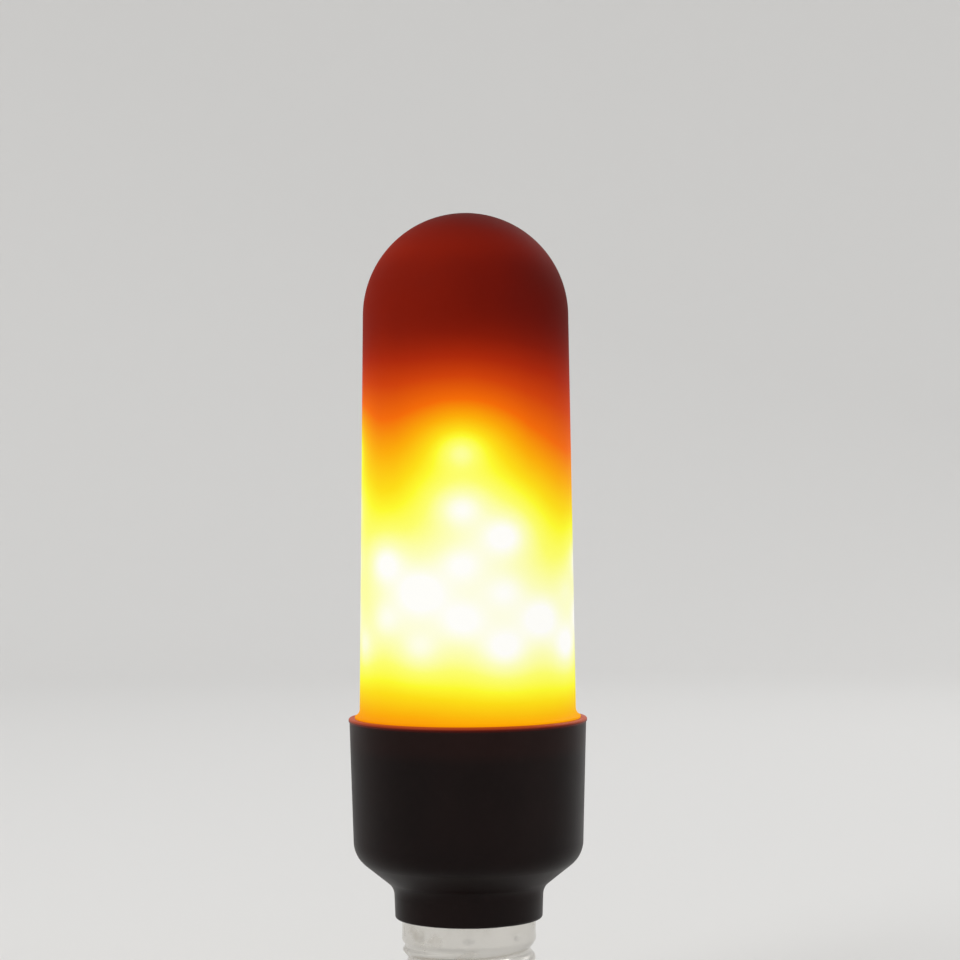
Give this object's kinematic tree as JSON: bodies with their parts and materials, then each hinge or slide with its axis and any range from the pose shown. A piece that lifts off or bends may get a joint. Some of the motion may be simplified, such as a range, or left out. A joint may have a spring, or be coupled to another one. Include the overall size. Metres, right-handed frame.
{
  "type": "flame effect LED bulb",
  "caption": "Screw-cap LED bulb: a tall frosted round-ended diffuser over a column of LEDs in a staggered lattice, on a dark moulded housing with the driver inside.",
  "frame": {"origin": "tip of the centre contact, on the bulb's axis", "axes": "+Z along the axis from the cap to the diffuser's round end; the side seen in the picture faces -Y, with +X to its right"},
  "size_m": [0.0471, 0.047, 0.165],
  "materials": {
    "frosted_diffuser": "frosted polycarbonate, lit from inside: dark red at the round end, orange and yellow below, near white over the LEDs",
    "dark_housing": "near-black moulded plastic, satin",
    "nickel_plate": "nickel-plated brass sheet, rolled thread",
    "black_insulator": "black moulded insulator",
    "contact_brass": "dull brass",
    "white_plastic": "white moulded plastic",
    "screw_steel": "zinc-plated steel",
    "board_white": "white solder mask",
    "led_phosphor": "yellow phosphor in a white package",
    "ribbon_grey": "grey PVC ribbon",
    "board_green": "green solder mask",
    "capacitor_sleeve": "blue-black shrink sleeve",
    "film_red": "dipped red resin",
    "chip_black": "black moulding compound",
    "resistor_green": "green flameproof coat",
    "lead_red": "red PVC insulation",
    "lead_black": "black PVC insulation"
  },
  "bodies": {
    "root": {"diffuser": "frosted_diffuser", "housing": "dark_housing", "cap_shell": "nickel_plate", "cap_insulator": "black_insulator", "centre_contact": "contact_brass", "base_plate": "white_plastic", "plate_screws": "screw_steel", "core_tube": "white_plastic", "led_flex_board": "board_white", "side_leds": "led_phosphor", "top_led_board": "board_white", "top_leds": "led_phosphor", "top_jumpers": "screw_steel", "led_ribbon": "ribbon_grey", "driver_board": "board_green", "ribbon_socket": "white_plastic", "input_capacitor": "capacitor_sleeve", "output_capacitor": "capacitor_sleeve", "film_capacitor": "film_red", "choke": "chip_black", "bridge_rectifier": "chip_black", "driver_chip": "chip_black", "controller_chip": "chip_black", "row_transistors": "chip_black", "chip_resistors": "chip_black", "fusible_resistor": "resistor_green", "tilt_switch": "contact_brass", "live_lead": "lead_red", "neutral_lead": "lead_black"}
  },
  "joints": []
}
